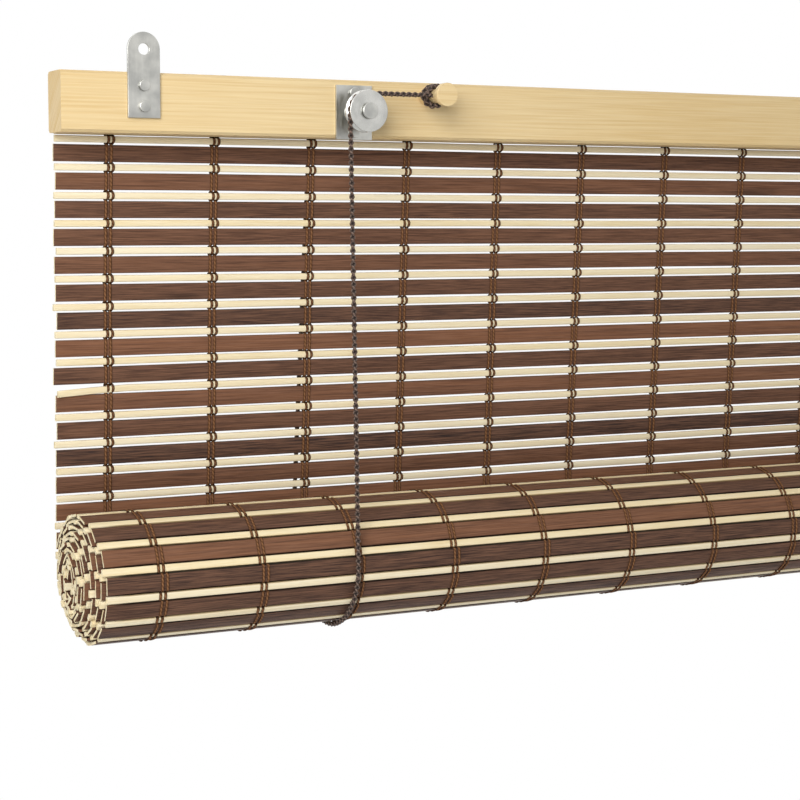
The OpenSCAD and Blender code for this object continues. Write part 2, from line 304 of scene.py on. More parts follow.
class BarTree(GeometryTree):
    """Sets a round-edged bamboo bar on every point of the host mesh."""

    END_FACING = 0.9
    WAVES = 7.0
    SEED_STEP = 17.3
    SWING = 0.5
    DROOP_SPAN = (-0.345, -0.41)
    DROOP_FORWARD = 0.9

    def __init__(self) -> None:
        """Build the tree: section, sweep, instances, bow, grain coordinates and finishes."""
        super().__init__(
            "Bamboo bars",
            Float=["Height", "Thickness", "Edge", "Bow"],
            Int=["Sections"],
            Material=["Face Finish", "End Finish"],
        )
        make, given = self.make, self.given
        bar = self._bar()
        turned = make.joined(self.named("tilt"), 0.0, 0.0)
        sized = make.joined(self.named("length"), 1.0, 1.0)
        placed = make.out(
            "GeometryNodeInstanceOnPoints",
            {"Points": given["Geometry"], "Instance": bar, "Rotation": turned, "Scale": sized},
        )
        real = make.out("GeometryNodeRealizeInstances", {"Geometry": placed})
        bowed = make.out("GeometryNodeSetPosition", {"Geometry": real, "Offset": self._bow()})
        place = make.parted(self.position())
        grain = make.joined(place[0], self.named("across"), self.named("seed"))
        grained = self.stored(bowed, "grain", grain, "FLOAT_VECTOR")
        facing = make.parted(make.out("GeometryNodeInputNormal"))
        at_end = make.math("GREATER_THAN", make.math("ABSOLUTE", facing[0]), self.END_FACING)
        faced = make.out(
            "GeometryNodeSetMaterial", {"Geometry": grained, "Material": given["Face Finish"]}
        )
        ended = make.out(
            "GeometryNodeSetMaterial",
            {"Geometry": faced, "Selection": at_end, "Material": given["End Finish"]},
        )
        self.close(ended)

    def _bar(self) -> Socket:
        """Return one bar of unit length along X, with its place across the face stored."""
        make, given = self.make, self.given
        section = make.out(
            "GeometryNodeCurvePrimitiveQuadrilateral",
            {"Width": given["Thickness"], "Height": given["Height"]},
        )
        rounded = make.out(
            "GeometryNodeFilletCurve",
            {"Curve": section, "Count": 2, "Radius": given["Edge"]},
            mode="POLY",
        )
        line = make.out(
            "GeometryNodeCurvePrimitiveLine", {"Start": (-0.5, 0.0, 0.0), "End": (0.5, 0.0, 0.0)}
        )
        stations = make.out(
            "GeometryNodeResampleCurve", {"Curve": line, "Count": given["Sections"]}
        )
        upright = make.out(
            "GeometryNodeSetCurveNormal",
            {"Curve": stations, "Normal": (0.0, 1.0, 0.0)},
            mode="FREE",
        )
        swept = make.out(
            "GeometryNodeCurveToMesh",
            {"Curve": upright, "Profile Curve": rounded, "Fill Caps": True},
        )
        return self.stored(swept, "across", make.parted(self.position())[2])

    def _bow(self) -> Socket:
        """Return the small bow of each bar and the droop of its left end."""
        make, bow = self.make, self.given["Bow"]
        place = make.parted(self.position())
        seed = make.times(self.named("seed"), self.SEED_STEP)
        along = make.joined(make.times(place[0], self.WAVES), seed, 0.0)
        noise = make.add("ShaderNodeTexNoise", {"Vector": along, "Scale": 1.0, "Detail": 1.0})
        centred = make.parted(make.vector("SUBTRACT", noise.outputs["Color"], (0.5, 0.5, 0.5)))
        fallen = make.times(make.span(place[0], *self.DROOP_SPAN), self.named("droop"))
        rise = make.minus(make.times(centred[2], bow), fallen)
        swing = make.times(centred[1], make.times(bow, self.SWING))
        return make.joined(0.0, make.minus(swing, make.times(fallen, self.DROOP_FORWARD)), rise)


class StrandTree(GeometryTree):
    """Lays a flat twisted strand along every chain of the host mesh."""

    def __init__(self) -> None:
        """Build the tree: smooth chain, even stations, flat section and twist coordinates."""
        super().__init__(
            "Laid strands",
            Float=["Width", "Thickness", "Step"],
            Int=["Sides"],
            Material=["Finish"],
        )
        make, given = self.make, self.given
        stations = smooth_chain(self, given["Step"])
        flat = make.out(
            "GeometryNodeSetCurveNormal",
            {"Curve": stations, "Normal": (1.0, 0.0, 0.0)},
            mode="FREE",
        )
        along = make.add("GeometryNodeSplineParameter").outputs["Length"]
        measured = self.stored(flat, "along", along)
        squeezed = make.joined(given["Width"], given["Thickness"], 1.0)
        swept = swept_tube(self, measured, given["Sides"], squeezed)
        self.close(finished_tube(self, swept, given["Finish"]))


class BraidTree(GeometryTree):
    """Braids four strands about every chain of the host mesh."""

    STRANDS = 4
    WEAVE = 0.55
    HOLLOW_SHADE_SPAN = (0.95, 0.6)

    def __init__(self) -> None:
        """Build the tree: copies of the chain wound both ways, each passing over and under."""
        super().__init__(
            "Braided cord",
            Float=["Radius", "Strand", "Pitch", "Step"],
            Int=["Sides"],
            Material=["Finish"],
        )
        make, given = self.make, self.given
        strand, each_way = given["Strand"], self.STRANDS / 2
        stations = smooth_chain(self, given["Step"])
        copies = make.add(
            "GeometryNodeDuplicateElements",
            {"Geometry": stations, "Amount": self.STRANDS},
            domain="SPLINE",
        )
        number = copies.outputs["Duplicate Index"]
        along = make.add("GeometryNodeSplineParameter").outputs["Length"]
        wound = make.times(make.math("DIVIDE", along, given["Pitch"]), math.tau)
        way = make.minus(make.times(make.math("MODULO", number, 2.0), 2.0), 1.0)
        first = make.times(make.math("FLOOR", make.times(number, 0.5)), math.tau / each_way)
        angle = make.plus(first, make.times(wound, way))
        weave = make.times(make.math("COSINE", make.times(wound, each_way)), way)
        middle = make.minus(given["Radius"], make.times(strand, 1 + self.WEAVE))
        reach = make.math("MULTIPLY_ADD", weave, make.times(strand, self.WEAVE), middle)
        side = make.out("GeometryNodeInputNormal")
        other = make.vector("CROSS_PRODUCT", make.out("GeometryNodeInputTangent"), side)
        out = make.vector(
            "ADD",
            make.scaled(side, make.times(make.math("COSINE", angle), reach)),
            make.scaled(other, make.times(make.math("SINE", angle), reach)),
        )
        cored = self.stored(copies.outputs[0], "core", self.position(), "FLOAT_VECTOR")
        moved = make.out("GeometryNodeSetPosition", {"Geometry": cored, "Offset": out})
        measured = self.stored(moved, "along", along)
        width = make.times(strand, 2.0)
        swept = swept_tube(self, measured, given["Sides"], make.joined(width, width, 1.0))
        self.close(finished_tube(self, self._hollow_shade(swept), given["Finish"]))

    def _hollow_shade(self, tube: Socket) -> Socket:
        """Store painted shade by how far in each point of the braid lies, darkest in its hollows.
        """
        make = self.make
        gone = make.vector("SUBTRACT", self.position(), self.named("core", "FLOAT_VECTOR"))
        far = make.add("ShaderNodeVectorMath", {0: gone}, operation="LENGTH").outputs["Value"]
        share = make.math("DIVIDE", far, self.given["Radius"])
        return self.stored(tube, "crossing_shade", make.span(share, *self.HOLLOW_SHADE_SPAN))


def smooth_chain(tree: GeometryTree, step: Socket) -> Socket:
    """Turn the host's chains of edges into smooth curves with even stations.

    Args:
        tree: the tree that the nodes go into.
        step: distance between stations.

    Returns:
        The resampled curves.
    """
    make = tree.make
    chain = make.out("GeometryNodeMeshToCurve", {"Mesh": tree.given["Geometry"]})
    eased = make.out("GeometryNodeCurveSplineType", {"Curve": chain}, spline_type="CATMULL_ROM")
    fine = make.out("GeometryNodeSetSplineResolution", {0: eased, "Resolution": 6})
    return make.out("GeometryNodeResampleCurve", {"Curve": fine, "Length": step}, mode="LENGTH")


def swept_tube(tree: GeometryTree, curve: Socket, sides: Socket, size: Socket) -> Socket:
    """Sweep an oval section along curves, with the place round it stored.

    Args:
        tree: the tree that the nodes go into.
        curve: the curves to sweep along.
        sides: number of flats round the section.
        size: width and thickness of the section.

    Returns:
        The tube's mesh.
    """
    make = tree.make
    ring = make.out(
        "GeometryNodeCurvePrimitiveCircle", {"Resolution": sides, "Radius": 0.5}, mode="RADIUS"
    )
    turn = make.times(make.add("GeometryNodeSplineParameter").outputs["Factor"], math.tau)
    around = make.joined(make.math("COSINE", turn), make.math("SINE", turn), 0.0)
    seen = tree.stored(ring, "around", around, "FLOAT_VECTOR")
    oval = make.out("GeometryNodeTransform", {"Geometry": seen, "Scale": size})
    return make.out(
        "GeometryNodeCurveToMesh", {"Curve": curve, "Profile Curve": oval, "Fill Caps": True}
    )


def finished_tube(tree: GeometryTree, tube: Socket, finish: Socket) -> Socket:
    """Smooth a tube, realize it and give it its finish.

    Args:
        tree: the tree that the nodes go into.
        tube: the swept mesh.
        finish: the material socket.

    Returns:
        The finished geometry.
    """
    make = tree.make
    soft = make.out("GeometryNodeSetShadeSmooth", {"Geometry": tube, "Shade Smooth": True})
    real = make.out("GeometryNodeRealizeInstances", {"Geometry": soft})
    return make.out("GeometryNodeSetMaterial", {"Geometry": real, "Material": finish})


def host_mesh(
    name: str,
    points: Sequence[Sequence[float]],
    chains: Sequence[Sequence[int]] = (),
    values: dict[str, Sequence[float]] | None = None,
) -> bpy.types.Mesh:
    """Make a host mesh of points, with chains of edges and named numbers on the points.

    Args:
        name: the mesh's name.
        points: places in metres.
        chains: rows of point numbers, each joined end to end.
        values: numbers for every point, by attribute name.

    Returns:
        The host mesh.
    """
    edges = [pair for chain in chains for pair in zip(chain, chain[1:])]
    mesh = bpy.data.meshes.new(name)
    mesh.from_pydata([tuple(p) for p in points], edges, [])
    for label, numbers in (values or {}).items():
        mesh.attributes.new(label, "FLOAT", "POINT").data.foreach_set("value", list(numbers))
    return mesh


class ShaderGroup:
    """A shader node group with named inputs and outputs, made once and shared."""

    def __init__(
        self, name: str, inputs: dict[str, float | None], outputs: Sequence[str]
    ) -> None:
        """Make the group and its sockets.

        Args:
            name: the group's name.
            inputs: default numbers by input name, or None for a vector.
            outputs: names of the numbers that it gives.
        """
        self.tree = bpy.data.node_groups.new(name, "ShaderNodeTree")
        face = self.tree.interface
        for label, value in inputs.items():
            kind = "NodeSocketVector" if value is None else "NodeSocketFloat"
            socket = face.new_socket(name=label, in_out="INPUT", socket_type=kind)
            if value is not None:
                socket.default_value = value
        for label in outputs:
            face.new_socket(name=label, in_out="OUTPUT", socket_type="NodeSocketFloat")
        self.make = TreeMaker(self.tree)
        self.given = self.tree.nodes.new("NodeGroupInput").outputs

    def close(self, **results: Socket) -> None:
        """Link results to the outputs of those names."""
        self.make.add("NodeGroupOutput", results)

    def placed(self, make: TreeMaker, inputs: dict[str, Any]) -> bpy.types.bpy_prop_collection:
        """Place the group in a material and return its outputs."""
        return make.add("ShaderNodeGroup", inputs, node_tree=self.tree).outputs


class FibreGroup(ShaderGroup):
    """Grain of bamboo or wood: fine fibres, broad streaks and dark patches at the nodes."""

    SEED_STEP = 37.0
    STREAKS = (13.0, 800.0)
    PATCHES = (11.0, 70.0)
    PATCH_SEED = 5.0

    def __init__(self) -> None:
        """Build the group from stretched noise along the first coordinate."""
        super().__init__(
            "Fibre grain",
            {"Place": None, "Fibres": 2600.0, "Length": 45.0, "Patch": 0.66},
            ["Fibre", "Streak", "Patch"],
        )
        make, given = self.make, self.given
        place = make.parted(given["Place"])
        apart = make.times(place[2], self.SEED_STEP)

        def stretched(along: Any, across: Any, seed: Socket, detail: float, rough: float) -> Socket:
            """Return noise with its own scale along and across the fibres."""
            spot = make.joined(make.times(place[0], along), make.times(place[1], across), seed)
            return make.noise(spot, 1.0, detail, rough)

        fine = stretched(given["Length"], given["Fibres"], apart, 4.0, 0.65)
        broad = stretched(*self.STREAKS, apart, 3.0, 0.6)
        patch = stretched(*self.PATCHES, make.plus(apart, self.PATCH_SEED), 2.0, 0.55)
        self.close(
            Fibre=make.span(fine, *MID_NOISE),
            Streak=make.span(broad, 0.32, 0.68),
            Patch=make.span(make.minus(patch, given["Patch"]), 0.0, 0.12),
        )


class TwistGroup(ShaderGroup):
    """Slanting marks of two twisted plies, from the place along and around a strand."""

    FUZZ = 1400.0

    def __init__(self) -> None:
        """Build the group without a seam, from the cosine and sine of the place around."""
        super().__init__(
            "Ply twist", {"Along": 0.0, "Around": None, "Pitch": 0.0024}, ["Ply", "Fuzz"]
        )
        make, given = self.make, self.given
        cosine, sine = make.parted(given["Around"])[:2]
        turn = make.times(make.math("DIVIDE", given["Along"], given["Pitch"]), math.tau)
        double_sine = make.times(make.times(cosine, sine), 2.0)
        double_cosine = make.minus(make.times(cosine, cosine), make.times(sine, sine))
        wave = make.plus(
            make.times(make.math("SINE", turn), double_cosine),
            make.times(make.math("COSINE", turn), double_sine),
        )
        fuzz_at = make.joined(make.times(given["Along"], self.FUZZ), cosine, sine)
        fuzz = make.noise(fuzz_at, 1.6, 2.0)
        self.close(Ply=make.span(wave, -0.9, 0.9), Fuzz=make.span(fuzz, *MID_NOISE))


class MottleGroup(ShaderGroup):
    """Cloudy change of tone and fine scratches on a plated metal."""

    DRAWN = (1.0, 0.6, 0.08)

    def __init__(self) -> None:
        """Build the group from two scales of noise on the given place."""
        super().__init__(
            "Plate mottle", {"Place": None, "Cloud": 90.0, "Scratch": 900.0}, ["Cloud", "Scratch"]
        )
        make, given = self.make, self.given
        cloud = make.noise(given["Place"], given["Cloud"], 3.0)
        drawn = make.vector("MULTIPLY", given["Place"], self.DRAWN)
        fine = make.noise(drawn, given["Scratch"], 2.0)
        self.close(Cloud=make.span(cloud, *MID_NOISE), Scratch=make.span(fine, 0.35, 0.65))


@dataclass
class SharedGroups:
    """The shader groups that several finishes use."""

    fibre: FibreGroup
    twist: TwistGroup
    mottle: MottleGroup


def empty_tree(owner: Material | bpy.types.World) -> TreeMaker:
    """Give a material or a world an empty node tree and return its maker."""
    owner.use_nodes = True
    owner.node_tree.nodes.clear()
    return TreeMaker(owner.node_tree)


class Surface:
    """A new material with one Principled shader."""

    def __init__(self, name: str, **sockets: float) -> None:
        """Make the material and its shader.

        Args:
            name: the material's name.
            sockets: fixed numbers on the shader, with underscores for spaces.
        """
        self.material = bpy.data.materials.new(name)
        self.make = empty_tree(self.material)
        fixed = {label.replace("_", " "): value for label, value in sockets.items()}
        self.shader = self.make.add("ShaderNodeBsdfPrincipled", fixed)
        self.make.add("ShaderNodeOutputMaterial", {"Surface": self.shader.outputs[0]})

    def solid(self) -> Socket:
        """Return the place on the piece itself."""
        return self.make.add("ShaderNodeTexCoord").outputs[GrainFrom.OBJECT.value]

    def attribute(self, name: str, output: str = "Fac") -> Socket:
        """Return an attribute of the piece, as a factor or a vector."""
        return self.make.add("ShaderNodeAttribute", attribute_name=name).outputs[output]

    def finished(
        self,
        colour: Socket,
        height: Socket,
        relief: float,
        strength: float = 1.0,
        rough: Socket | None = None,
    ) -> Material:
        """Feed the shader with what varies over the surface.

        Args:
            colour: the base colour.
            height: pattern of the relief.
            relief: depth of the relief in metres.
            strength: share of the relief that shows.
            rough: the roughness, where it varies.

        Returns:
            The material.
        """
        sockets = self.shader.inputs
        self.make.feed(sockets["Base Color"], colour)
        if rough is not None:
            self.make.feed(sockets["Roughness"], rough)
        bump = {"Strength": strength, "Distance": relief, "Height": height}
        self.make.feed(sockets["Normal"], self.make.out("ShaderNodeBump", bump))
        return self.material


@dataclass(frozen=True)
class GrainFinish:
    """Bamboo or wood with fibres, streaks and patches, a tone by piece, and painted shade on inner
    turns and long edges.
    """

    name: str
    warm: str
    cool: str
    streak: str
    fibre: str
    patch: str
    # Colour of the painted shade on a bar's long edges.
    edge: str
    half_height: float
    streak_share: float = 0.5
    fibre_share: float = 0.4
    patch_share: float = 0.6
    fibres: float = 2600.0
    length: float = 45.0
    patch_level: float = 0.66
    rough_low: float = 0.42
    rough_high: float = 0.6
    relief: float = 0.00004
    specular: float = 0.5
    # Strength of the painted shade on inner turns.
    deep_shade: float = 0.85
    # Width and strength of the painted shade on a bar's long edges, standing in for the dark gaps
    # between bars.
    rim: float = 0.0004
    rim_shade: float = 0.8
    shaded_from: float = 0.384
    shaded_to: float = 0.372
    layer_slant: float = 0.9
    tone_scale: float = 6.0
    source: GrainFrom = GrainFrom.BAR

    def material(self, groups: SharedGroups) -> Material:
        """Build the finish.

        Args:
            groups: the shared shader groups.

        Returns:
            The material.
        """
        surface = Surface(self.name, Specular_IOR_Level=self.specular)
        make = surface.make
        on_bar = self.source is GrainFrom.BAR
        if on_bar:
            place = surface.attribute(self.source.value, "Vector")
            tone = surface.attribute("tone")
        else:
            x, y, z = make.parted(surface.solid())
            place = make.joined(x, make.plus(y, z), make.times(y, self.layer_slant))
            tone = make.span(make.noise(place, self.tone_scale, 2.0), *MID_NOISE)
        grain = groups.fibre.placed(
            make,
            {
                "Place": place,
                "Fibres": self.fibres,
                "Length": self.length,
                "Patch": self.patch_level,
            },
        )
        colour = make.blended(tone, shade(self.warm), shade(self.cool))
        for label, share, code in (
            ("Streak", self.streak_share, self.streak),
            ("Fibre", self.fibre_share, self.fibre),
            ("Patch", self.patch_share, self.patch),
        ):
            colour = make.blended(make.times(grain[label], share), colour, shade(code))
        if on_bar:
            colour = self.shaded(surface, colour, make.parted(place))
        rough = make.span(grain["Fibre"], 0.0, 1.0, self.rough_high, self.rough_low)
        return surface.finished(colour, grain["Fibre"], self.relief, rough=rough)

    def shaded(self, surface: Surface, colour: Socket, place: Sequence[Socket]) -> Socket:
        """Paint shade on inner turns and on the long edges of a bar, but not near its ends.

        Args:
            surface: the material in the making.
            colour: the bamboo's colour.
            place: coordinates along and across the bar.

        Returns:
            The colour with painted shade.
        """
        make = surface.make
        inside = make.span(make.math("ABSOLUTE", place[0]), self.shaded_from, self.shaded_to)
        # Painted shade: bars on inner turns are darkened towards black.
        inner_shade_mask = make.times(surface.attribute("shaded_turn"), self.deep_shade)
        colour = make.blended(make.times(inner_shade_mask, inside), colour, BLACK)
        # Painted shade on the long edges, for the dark gaps between bars.
        across = make.math("ABSOLUTE", place[1])
        rim = make.span(across, self.half_height - self.rim, self.half_height, 0.0, self.rim_shade)
        return make.blended(make.times(rim, inside), colour, shade(self.edge))


@dataclass(frozen=True)
class CutEndFinish:
    """Raw cut end of a bamboo bar, cream with dark pores."""

    name: str
    cream: str
    tan: str
    pore: str
    cloud_scale: float = 400.0
    pore_scale: float = 1900.0
    pore_shade: float = 0.45
    relief: float = 0.0001

    def material(self) -> Material:
        """Build the finish and return the material."""
        surface = Surface(self.name, Roughness=0.8)
        make, solid = surface.make, surface.solid()
        cloud = make.span(make.noise(solid, self.cloud_scale, 2.0), 0.35, 0.7)
        colour = make.blended(cloud, shade(self.cream), shade(self.tan))
        cell = make.out("ShaderNodeTexVoronoi", {"Vector": solid, "Scale": self.pore_scale})
        pores = make.span(cell, 0.34, 0.16, 0.0, self.pore_shade)
        colour = make.blended(pores, colour, shade(self.pore))
        return surface.finished(colour, cell, self.relief, 0.6)


@dataclass(frozen=True)
class YarnFinish:
    """Twisted yarn with painted shade on its sides and where it crosses."""

    name: str
    low: str
    high: str
    crossing: str
    pitch: float
    roughness: float = 0.8
    specular: float = 0.1
    # Where and how strongly painted shade darkens the yarn's sides.
    side_from: float = 0.45
    side_shade: float = 0.6
    # Strength of the painted shade where yarns cross, and in the braid's hollows.
    painted_cross_shade: float = 0.8
    ply_share: float = 0.65
    fuzz_share: float = 0.35
    relief: float = 0.00012

    def material(self, groups: SharedGroups) -> Material:
        """Build the finish.

        Args:
            groups: the shared shader groups.

        Returns:
            The material.
        """
        surface = Surface(self.name, Roughness=self.roughness, Specular_IOR_Level=self.specular)
        make = surface.make
        around = surface.attribute("around", "Vector")
        twist = groups.twist.placed(
            make,
            {"Along": surface.attribute("along"), "Around": around, "Pitch": self.pitch},
        )
        plies = make.times(twist["Ply"], self.ply_share)
        mixed = make.math("MULTIPLY_ADD", twist["Fuzz"], self.fuzz_share, plies)
        colour = make.blended(mixed, shade(self.low), shade(self.high))
        # Painted shade on the yarn's sides.
        edge = make.math("ABSOLUTE", make.parted(around)[0])
        shaded = make.span(edge, self.side_from, 1.0, 0.0, self.side_shade)
        # Painted shade at crossings, on loops and in the braid's hollows.
        cross_shade_mask = make.times(surface.attribute("crossing_shade"), self.painted_cross_shade)
        dark = make.math("MAXIMUM", cross_shade_mask, shaded)
        colour = make.blended(dark, colour, shade(self.crossing))
        return surface.finished(colour, mixed, self.relief)


@dataclass(frozen=True)
class PlateFinish:
    """Plated steel with a cloudy tone and fine drawn scratches."""

    name: str
    bright: str
    dull: str
    rough_low: float
    rough_high: float
    relief: float = 0.00003

    def material(self, groups: SharedGroups) -> Material:
        """Build the finish.

        Args:
            groups: the shared shader groups.

        Returns:
            The material.
        """
        surface = Surface(self.name, Metallic=1.0)
        make = surface.make
        mottle = groups.mottle.placed(make, {"Place": surface.solid()})
        colour = make.blended(mottle["Cloud"], shade(self.bright), shade(self.dull))
        rough = make.span(mottle["Scratch"], 0.0, 1.0, self.rough_low, self.rough_high)
        return surface.finished(colour, mottle["Scratch"], self.relief, 0.5, rough)


# The edge colours of the bamboo finishes are painted shade on long edges.
STAINED = GrainFinish(
    name="stained_bamboo", warm="#7b533b", cool="#302623", streak="#291d1d",
    fibre="#946b53", patch="#231b18", edge="#1a120e", half_height=0.0046,
    streak_share=0.55, fibre_share=0.5, fibres=1900.0, length=48.0, specular=0.12,
)
NATURAL = GrainFinish(
    name="natural_bamboo", warm="#ece0c3", cool="#e6d4aa", streak="#dcc494",
    fibre="#f2e8cc", patch="#cfb27a", edge="#8f7142", half_height=0.002,
    patch_share=0.3, patch_level=0.7, fibres=900.0, rough_low=0.45, specular=0.2,
)
BATTEN = GrainFinish(
    name="batten_pine", warm="#e0c796", cool="#d6b881", streak="#c8a66e",
    fibre="#e8d5ab", patch="#bb915a", edge="#bb915a", half_height=1.0,
    fibres=900.0, length=14.0, patch_level=0.72, rough_high=0.66, source=GrainFrom.OBJECT,
)
CUT_END = CutEndFinish(name="cut_bamboo", cream="#f1e6c6", tan="#e2cf9f", pore="#a98d5e")
# The crossing colours are the painted shade of the yarns.
WARP_YARN = YarnFinish(
    name="warp_yarn", low="#573822", high="#8c6343", crossing="#1c1008", pitch=2.4 * MM,
    side_shade=0.75, painted_cross_shade=0.95,
)
CORD_YARN = YarnFinish(
    name="cord_yarn", low="#4c3a31", high="#836e62", crossing="#150d0a", pitch=1.6 * MM,
    roughness=0.55, specular=0.3, side_shade=0.0, painted_cross_shade=0.95,
)
ZINC = PlateFinish(
    name="zinc_plate", bright="#c9c8c2", dull="#a9a9a5", rough_low=0.28, rough_high=0.42
)
TURNED_STEEL = PlateFinish(
    name="turned_steel", bright="#d2d1cc", dull="#b5b5b1", rough_low=0.18, rough_high=0.3
)


@dataclass(frozen=True)
class Row:
    """One bar of the mat as a warp meets it, in millimetres in the Y and Z of the frame."""

    kind: BarKind
    centre: Vector
    back: Vector
    travel: Vector
    angle: float | None = None


@dataclass(frozen=True)
class MatLayout:
    """Sizes and places of the mat in millimetres and degrees, as in the part's source."""

    width: float = 780.0
    dark_height: float = 9.2
    dark_thick: float = 1.4
    light_height: float = 4.0
    light_thick: float = 2.2
    row_pitch: float = 15.0
    first_dark: float = 10.0
    dark_count: int = 15
    light_count: int = 16
    warp_count: int = 13
    warp_edge: float = 30.0
    end_stagger: float = 1.2
    stagger_turn: float = 137.0
    stagger_start: float = 40.0
    swing_turn: float = 71.0
    swing_mean: float = 0.55
    swing_reach: float = 0.45
    first_wound: int = 5
    first_slack: int = 50
    lean: float = 3.25
    mat_y: float = 23.5
    rail_bottom: float = -44.0
    roll_drop: float = 21.2
    roll_radius: float = 35.8
    turn_pitch: float = 2.9
    core_radius: float = 5.0
    core_flat: float = 0.45
    core_sag: float = 2.5
    slack_pitch: float = 16.3
    wound_pitch: float = 14.6
    slack_steps: int = 9
    turn_creep: float = 1.3
    end_tilt: float = 3.0
    creep_start: float = 3.1
    creep_end: float = -4.5
    tilt_phase: float = 40.0
    tilt_turns: float = 5.0
    tilt_least: float = 0.1

    @property
    def last_light(self) -> float:
        """Distance of the last hanging rod below the bend at the headrail."""
        return self.light_at(self.light_count)

    @property
    def touch(self) -> float:
        """Distance along the mat at which it meets the roll."""
        return self.last_light + self.roll_drop

    @property
    def turns(self) -> float:
        """Number of turns in the roll."""
        return (self.roll_radius - self.core_radius) / self.turn_pitch

    @property
    def middle(self) -> Vector:
        """Middle of the roll."""
        return self.on_lean(self.touch, -self.roll_radius)

    def dark_at(self, i: int) -> float:
        """Distance of a dark slat below the bend at the headrail."""
        return self.first_dark + (i - 2) * self.row_pitch

    def light_at(self, i: int) -> float:
        """Distance of a light rod below the bend at the headrail."""
        return self.dark_at(i) - self.row_pitch / 2

    def stagger(self, i: int) -> float:
        """End shift of one bar, repeatable by its number."""
        swing = self.swing_mean + self.swing_reach * math.cos(math.radians(i * self.swing_turn))
        turn = math.radians(i * self.stagger_turn + self.stagger_start)
        return self.end_stagger * math.sin(turn) * swing

    def on_lean(self, s: float, d: float = 0.0) -> Vector:
        """Point at a distance down the leaning mat and behind it."""
        lean = math.radians(self.lean)
        return Vector(
            (
                self.mat_y + s * math.sin(lean) + d * math.cos(lean),
                self.rail_bottom - s * math.cos(lean) + d * math.sin(lean),
            )
        )

    def share(self, angle: float) -> float:
        """Number of turns wound at an angle from the front, counted up over the top."""
        return max(0.0, angle + 180 + self.lean) / 360

    def radius(self, angle: float) -> float:
        """Radius of the spiral at an angle."""
        return self.roll_radius - self.turn_pitch * self.share(angle)

    def halves(self, angle: float) -> tuple[float, float]:
        """Half depth and half height of the turn at an angle, flatter towards the core."""
        flat = self.core_flat * (self.share(angle) / self.turns) ** 3
        return self.radius(angle) * (1 - flat), self.radius(angle) * (1 + flat / 2)

    def wound(self, angle: float) -> Vector:
        """Place of a wound bar's middle."""
        turn = math.radians(angle)
        half_y, half_z = self.halves(angle)
        sag = self.core_sag * self.share(angle) / self.turns
        return self.middle + Vector((-half_y * math.cos(turn), half_z * math.sin(turn) - sag))

    def wound_tilt(self, angle: float) -> float:
        """Turn of a wound bar about X, in radians."""
        turn = math.radians(angle)
        half_y, half_z = self.halves(angle)
        return -math.atan2(math.sin(turn) / half_z, math.cos(turn) / half_y)

    def wound_angles(self) -> list[float]:
        """Angles of all wound bars, from the outer turn inwards."""
        arc = self.last_light + 1.5 * self.slack_pitch - self.touch
        angle = -180 - self.lean + math.degrees(arc / self.roll_radius)
        angles = []
        while self.radius(angle) > self.core_radius:
            angles.append(angle)
            pitch = self.slack_pitch if len(angles) <= self.slack_steps else self.wound_pitch
            angle += math.degrees(pitch / 2 / self.radius(angle))
        return angles

    def creep(self, i: int, angle: float) -> float:
        """Shift of a wound bar along the roll."""
        mean = max(self.creep_end, self.creep_start - self.turn_creep * self.share(angle))
        tilt = self.end_tilt * max(self.tilt_least, 1 - self.share(angle) / self.tilt_turns)
        turned = tilt * math.cos(math.radians(angle + self.tilt_phase))
        return mean + turned + self.stagger(i + self.first_wound)

    def size(self, kind: BarKind) -> tuple[float, float]:
        """Height and thickness of one kind of bar."""
        if kind is BarKind.DARK:
            return self.dark_height, self.dark_thick
        return self.light_height, self.light_thick

    def rows(self, last_angle: float) -> list[Row]:
        """List every bar that a warp passes, from the headrail to an angle on the outer turn.

        Args:
            last_angle: where the list ends on the roll.

        Returns:
            The rows in the order of the warp.
        """
        lean = math.radians(self.lean)
        hanging = [(self.light_at(i), BarKind.LIGHT) for i in range(1, self.light_count + 1)]
        hanging += [(self.dark_at(i), BarKind.DARK) for i in range(1, self.dark_count + 1)]
        hanging += [(self.last_light + self.slack_pitch / 2, BarKind.DARK)]
        hanging += [(self.last_light + self.slack_pitch, BarKind.LIGHT)]
        found = []
        for s, kind in sorted(hanging, key=lambda item: item[0]):
            if s < 0:
                upright = Vector((self.mat_y, self.rail_bottom - s))
                found.append(Row(kind, upright, Vector((1.0, 0.0)), Vector((0.0, -1.0))))
            else:
                back = Vector((math.cos(lean), math.sin(lean)))
                travel = Vector((math.sin(lean), -math.cos(lean)))
                found.append(Row(kind, self.on_lean(s), back, travel))
        for i, angle in enumerate(self.wound_angles()):
            if angle > last_angle:
                break
            turn = math.radians(angle)
            kind = BarKind.LIGHT if i % 2 else BarKind.DARK
            out = Vector((-math.cos(turn), math.sin(turn)))
            travel = Vector((math.sin(turn), math.cos(turn)))
            found.append(Row(kind, self.wound(angle), out, travel, angle))
        return found


@dataclass(frozen=True)
class BarLook:
    """Names of one kind of bar, its drawn sizes in millimetres, and a tone for each bar."""

    node: str
    hung_name: str
    wound_name: str
    slot: str
    edge: float
    hung_bow: float
    hung_height: float
    tones: tuple[float, ...]
    outer_tones: tuple[float, ...]


